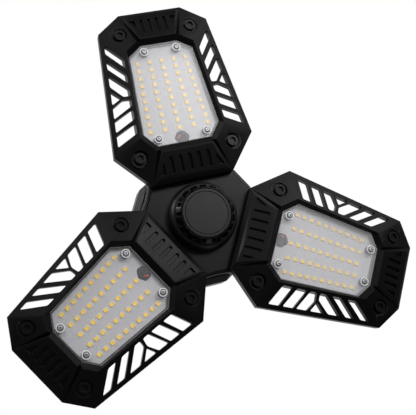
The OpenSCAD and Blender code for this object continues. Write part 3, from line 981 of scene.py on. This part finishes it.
    def make_screws(self, station: Station) -> None:
        """Makes the lens screws: pan heads with a cross recess, each on a grey O-ring.

        Args:
            station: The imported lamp.
        """
        screw = CrossScrew(self.screw_head_radius, self.screw_head_height).build()
        Bench.shade(screw)
        Bench.paint(screw, Finishes.DULL_STEEL)
        Bench.clear()
        bpy.ops.mesh.primitive_torus_add(
            major_segments=36,
            minor_segments=8,
            major_radius=self.screw_head_radius + self.o_ring_gap,
            minor_radius=self.o_ring_half_width,
        )
        o_ring = bpy.context.object
        Bench.shade(o_ring)
        Bench.paint(o_ring, Finishes.O_RING)
        spots = self.screw_spots(self.lens_front)
        pieces = self.copies(screw, spots) + self.copies(o_ring, spots)
        made = Bench.join(pieces, f"lens_screws_cross_{self.letter}")
        station.stand_in(made, self.node("lens_screws"))

    def make_metal(self, station: Station) -> None:
        """Makes the finned pan, the arm and the hinge pins.

        Args:
            station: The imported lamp.
        """
        self.remake(station, "heat_pan", "finned_pan", Finishes.ANODISED)
        self.remake(station, "hinge_arm", "forked_arm", Finishes.ARM)
        self.remake(station, "hinge_pins", "stub_pins", Finishes.STEEL)

    def make_wires(self, station: Station) -> None:
        """Rounds the two wires that come up through the board, one red and one black.

        Args:
            station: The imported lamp.
        """
        wires = round_wires(station, self.node("leaf_wires"), f"board_wires_{self.letter}")
        Bench.paint(wires, Finishes.WIRE, Finishes.BLACK_WIRE)
        to_leaf = self.place.inverted()
        for face in wires.data.polygons:
            face.material_index = 0 if (to_leaf @ face.center).y > 0 else 1
        station.stand_in(wires, self.node("leaf_wires"))

    def make_sealant_hole_shade(self, station: Station) -> None:
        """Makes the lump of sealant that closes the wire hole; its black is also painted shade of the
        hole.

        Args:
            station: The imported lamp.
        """
        Bench.clear()
        bpy.ops.mesh.primitive_uv_sphere_add(
            segments=36,
            ring_count=18,
            radius=1.0,
            location=(*self.sealant_shade_centre, self.board_front),
            scale=self.sealant_shade_radii,
        )
        lump = bpy.context.object
        lump.name = f"wire_sealant_hole_shade_{self.letter}"
        Bench.settle(lump, self.place)
        clouds = bpy.data.textures.new(lump.name, "CLOUDS")
        clouds.noise_scale = self.sealant_shade_lump_size
        Bench.apply(
            lump,
            "DISPLACE",
            texture=clouds,
            strength=self.sealant_shade_lump_height,
            mid_level=0.5,
            texture_coords="LOCAL",
        )
        Bench.shade(lump, degrees=80)
        # The lump's black is painted shade of the wire hole as well as the sealant's colour.
        Bench.paint(lump, Finishes.SEALANT_HOLE_SHADE)
        station.add(lump, station.bodies[self.node("led_board")], "black_plastic")


def round_wires(station: Station, node: str, name: str) -> bpy.types.Object:
    """Copies drawn wires and makes them round.

    Args:
        station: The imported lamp.
        node: The wires' solid.
        name: The piece's name.

    Returns:
        The piece, not yet in place.
    """
    wires = Bench.copy_of(station.nodes[node], name)
    Bench.edit(
        wires,
        lambda: bpy.ops.mesh.remove_doubles(threshold=MERGE_DISTANCE),
        lambda: bpy.ops.mesh.tris_convert_to_quads(),
    )
    Bench.apply(wires, "SUBSURF", levels=1, render_levels=1)
    Bench.shade(wires, degrees=60)
    Bench.paint(wires, Finishes.WIRE)
    return wires


@dataclass
class CrossScrew:
    """Head of a pan-head screw with a cross recess, seat at the origin, head along +z.

    The crown and the middle and height of the recess are shares of the head's height,
    and the taper is the foot of the recess as a share of its top.
    """

    radius: float
    height: float
    crown: float = 0.55
    recess_half: float = 1.3 * MM
    recess_width: float = 0.8 * MM
    recess_middle: float = 0.95
    recess_height: float = 1.1
    recess_taper: float = 0.5

    def build(self) -> bpy.types.Object:
        """Makes the head: a bevelled disc, with a tapered cross cut into it.

        Returns:
            The screw's head.
        """
        Bench.clear()
        bpy.ops.mesh.primitive_cylinder_add(
            vertices=32, radius=self.radius, depth=self.height, location=(0, 0, self.height / 2)
        )
        head = bpy.context.object
        Bench.settle(head)
        Bench.pick_faces(head, lambda face: face.normal.z > FACING)
        crown = self.height * self.crown
        Bench.edit(
            head,
            lambda: bpy.ops.mesh.bevel(offset=crown, segments=5, affect="EDGES"),
            select=False,
        )
        for turn in (0.0, math.pi / 2):
            blade = self.blade(turn)
            Bench.apply(head, "BOOLEAN", operation="DIFFERENCE", object=blade, solver="EXACT")
            bpy.data.objects.remove(blade)
        return head

    def blade(self, turn: float) -> bpy.types.Object:
        """Makes one arm of the cross that is cut out.

        Args:
            turn: The arm's turn about z.

        Returns:
            The arm, narrower at its foot.
        """
        Bench.clear()
        bpy.ops.mesh.primitive_cube_add(
            size=1, location=(0, 0, self.height * self.recess_middle), rotation=(0, 0, turn)
        )
        blade = bpy.context.object
        blade.scale = (2 * self.recess_half, self.recess_width, self.height * self.recess_height)
        Bench.settle(blade)
        Bench.pick_faces(blade, lambda face: face.normal.z < -FACING)
        foot = (self.recess_taper, self.recess_taper, 1.0)
        Bench.edit(blade, lambda: bpy.ops.transform.resize(value=foot), select=False)
        return blade


# ---- the hub ---------------------------------------------------------------


@dataclass
class Hub:
    """The hub: cover, crown, cap, rear housing, collar and what is inside."""

    finishes: dict[str, Finish] = field(
        default_factory=lambda: {
            "hub_cover": Finishes.BLACK_HUB,
            "vent_crown": Finishes.BLACK_GLOSS,
            "center_cap": Finishes.BLACK_CAP,
            "rear_housing": Finishes.BLACK,
            "base_collar": Finishes.BLACK,
        }
    )
    bevels: dict[str, float] = field(
        default_factory=lambda: {
            "hub_cover": 0.5 * MM,
            "vent_crown": 0.3 * MM,
            "center_cap": 0.25 * MM,
            "rear_housing": 0.7 * MM,
            "base_collar": 0.4 * MM,
        }
    )

    def build(self, station: Station) -> None:
        """Makes and places every piece of the hub.

        Args:
            station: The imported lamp.
        """
        for node, finish in self.finishes.items():
            station.remake(node, f"{node}_shell", self.bevels[node], finish)
        wires = round_wires(station, "hub_wires", "driver_wires")
        station.stand_in(wires, "hub_wires")
        station.dress("driver_board", Finishes.GREEN_BOARD)
        station.dress("driver_parts", Finishes.DRIVER)
        station.dress("board_screws", Finishes.STEEL)
        station.dress("cover_screws", Finishes.STEEL)


@dataclass
class ScrewBase:
    """The screw base: a shell with a real thread, an insulator and a contact."""

    pitch: float = 3.63 * MM
    crest_radius: float = 13.1 * MM
    ridge_radius: float = 1.15 * MM
    first_turn: float = 2.2 * MM
    turns: int = 4
    steps: int = 48
    shoulder: float = 1.4 * MM
    insulator_bevel: float = 0.3 * MM
    tip_bevel: float = 0.25 * MM

    def build(self, station: Station) -> None:
        """Makes and places the pieces of the base.

        Args:
            station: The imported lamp.
        """
        self.make_shell(station)
        insulator, tip = self.insulator_bevel, self.tip_bevel
        station.remake("contact_insulator", "insulator_disc", insulator, Finishes.BLACK_GLOSS)
        station.remake("contact_tip", "centre_contact", tip, Finishes.BRASS)

    def make_shell(self, station: Station) -> None:
        """Makes the shell: a drawn sleeve with a rolled helical ridge.

        Args:
            station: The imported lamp.
        """
        low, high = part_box("screw_shell")
        core = self.crest_radius - self.ridge_radius
        Bench.clear()
        bpy.ops.mesh.primitive_cylinder_add(
            vertices=96,
            radius=core,
            depth=high.z - low.z,
            location=(0, 0, (high.z + low.z) / 2),
            end_fill_type="NGON",
        )
        sleeve = bpy.context.object
        Bench.settle(sleeve)
        Bench.pick_faces(sleeve, lambda face: face.normal.z > FACING)
        Bench.edit(
            sleeve,
            lambda: bpy.ops.mesh.bevel(offset=self.shoulder, segments=5, affect="EDGES"),
            select=False,
        )
        Bench.shade(sleeve)
        Bench.clear()
        bpy.ops.mesh.primitive_circle_add(
            vertices=16,
            radius=self.ridge_radius,
            fill_type="NOTHING",
            location=(core, 0, self.first_turn),
            rotation=(math.pi / 2, 0, 0),
        )
        ridge = bpy.context.object
        Bench.settle(ridge)
        Bench.apply(
            ridge,
            "SCREW",
            screw_offset=self.pitch,
            iterations=self.turns,
            steps=self.steps,
            render_steps=self.steps,
            use_merge_vertices=False,
            use_normal_calculate=True,
        )
        Bench.edit(
            ridge,
            lambda: bpy.ops.mesh.select_non_manifold(),
            lambda: bpy.ops.mesh.fill(),
            lambda: bpy.ops.mesh.select_all(action="SELECT"),
            lambda: bpy.ops.mesh.normals_make_consistent(inside=False),
        )
        Bench.shade(ridge, degrees=60)
        shell = Bench.join([sleeve, ridge], "threaded_shell")
        Bench.paint(shell, Finishes.NICKEL)
        station.stand_in(shell, "screw_shell")


# ---- the studio ------------------------------------------------------------


@dataclass(frozen=True)
class Softbox:
    """A rectangular lamp that faces the target.

    Its direction says where it stands, as seen by the camera: right, up and back.
    """

    name: str
    direction: tuple[float, float, float]
    distance: float
    size: tuple[float, float]
    power: float


@dataclass
class Studio:
    """Camera, lamps, world and floor."""

    eye: Vector = field(default_factory=lambda: Vector((0.18027, -0.09957, -0.7222)))
    right: Vector = field(default_factory=lambda: Vector((-0.94002, -0.25731, -0.22397)))
    up: Vector = field(default_factory=lambda: Vector((-0.21195, 0.95499, -0.20755)))
    back: Vector = field(default_factory=lambda: Vector((0.26729, -0.14763, -0.95224)))
    target: Vector = field(default_factory=lambda: Vector((0.0, 0.0, -0.08)))
    lens: float = 67.32
    shift: tuple[float, float] = (0.0152, 0.0243)
    softboxes: tuple[Softbox, ...] = (
        Softbox("main_softbox", (0.62, 0.72, 0.3), 1.3, (0.8, 0.8), 6.0),
        Softbox("upper_softbox", (-0.4, 0.85, 0.35), 1.3, (0.6, 0.6), 5.0),
        Softbox("sheen_softbox", (0.47, 0.59, 0.655), 1.2, (0.4, 0.3), 6.2),
        Softbox("broad_sheen", (-0.12, 0.62, 0.775), 1.2, (0.5, 0.2), 2.2),
        Softbox("left_strip", (-0.9, 0.5, 0.06), 0.9, (0.1, 0.7), 4.5),
    )
    world_light: float = 0.13
    floor_level: float = -1.6
    floor_size: float = 12.0

    def build(self) -> None:
        """Sets up everything that isn't the lamp."""
        self.make_camera()
        self.make_world()
        self.make_floor()
        for softbox in self.softboxes:
            self.make_light(softbox)
        bpy.context.scene.view_settings.view_transform = "Standard"

    def make_camera(self) -> None:
        """Makes the camera that took the photograph."""
        data = bpy.data.cameras.new("camera")
        data.sensor_width = 36.0
        data.lens = self.lens
        data.shift_x, data.shift_y = self.shift
        data.clip_start = 0.01
        data.clip_end = 50.0
        camera = bpy.data.objects.new("camera", data)
        turn = Matrix((self.right, self.up, self.back)).transposed().to_4x4()
        camera.matrix_world = Matrix.Translation(self.eye) @ turn
        bpy.context.scene.collection.objects.link(camera)
        bpy.context.scene.camera = camera

    def make_light(self, softbox: Softbox) -> None:
        """Makes one of the lamps.

        Args:
            softbox: Its place, size and power.
        """
        data = bpy.data.lights.new(softbox.name, "AREA")
        data.shape = "RECTANGLE"
        data.size, data.size_y = softbox.size
        data.energy = softbox.power
        lamp = bpy.data.objects.new(softbox.name, data)
        right, up, back = softbox.direction
        away = (right * self.right + up * self.up + back * self.back).normalized()
        turn = away.to_track_quat("Z", "Y").to_matrix().to_4x4()
        lamp.matrix_world = Matrix.Translation(self.target + softbox.distance * away) @ turn
        bpy.context.scene.collection.objects.link(lamp)

    def make_world(self) -> None:
        """Makes a world that is white to look at and softer as a light."""
        world = bpy.data.worlds.new("studio")
        world.use_nodes = True
        bpy.context.scene.world = world
        graph = Graph(world.node_tree)
        path = graph.tree.nodes.new("ShaderNodeLightPath")
        rays = ("Is Camera Ray", "Is Glossy Ray", "Is Transmission Ray")
        camera, glossy, passing = (Signal(graph, path.outputs[ray]) for ray in rays)
        shown = camera.highest(glossy).highest(passing)
        light = {"Color": WHITE, "Strength": self.world_light}
        soft = graph.node("ShaderNodeBackground", None, light)
        white = graph.node("ShaderNodeBackground", None, {"Color": WHITE, "Strength": 1.0})
        mixed = graph.node("ShaderNodeMixShader", None, [shown, soft, white])
        graph.node("ShaderNodeOutputWorld", None, [mixed])

    def make_floor(self) -> None:
        """Makes the pale floor far below the lamp."""
        Bench.clear()
        bpy.ops.mesh.primitive_plane_add(size=self.floor_size, location=(0, 0, self.floor_level))
        floor = bpy.context.object
        floor.name = "floor"
        Bench.paint(floor, StudioFloor("pale_floor", (0.85, 0.85, 0.85), 0.8))


def main() -> None:
    """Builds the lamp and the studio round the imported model."""
    logging.basicConfig(level=logging.INFO, format="%(message)s")
    station = Station.from_frame(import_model())
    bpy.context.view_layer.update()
    Studio().build()
    Hub().build(station)
    ScrewBase().build(station)
    for letter, angle in LEAF_ANGLES.items():
        Leaf(letter, angle).build(station)
    Bench.clear()


if __name__ == "__main__":
    main()
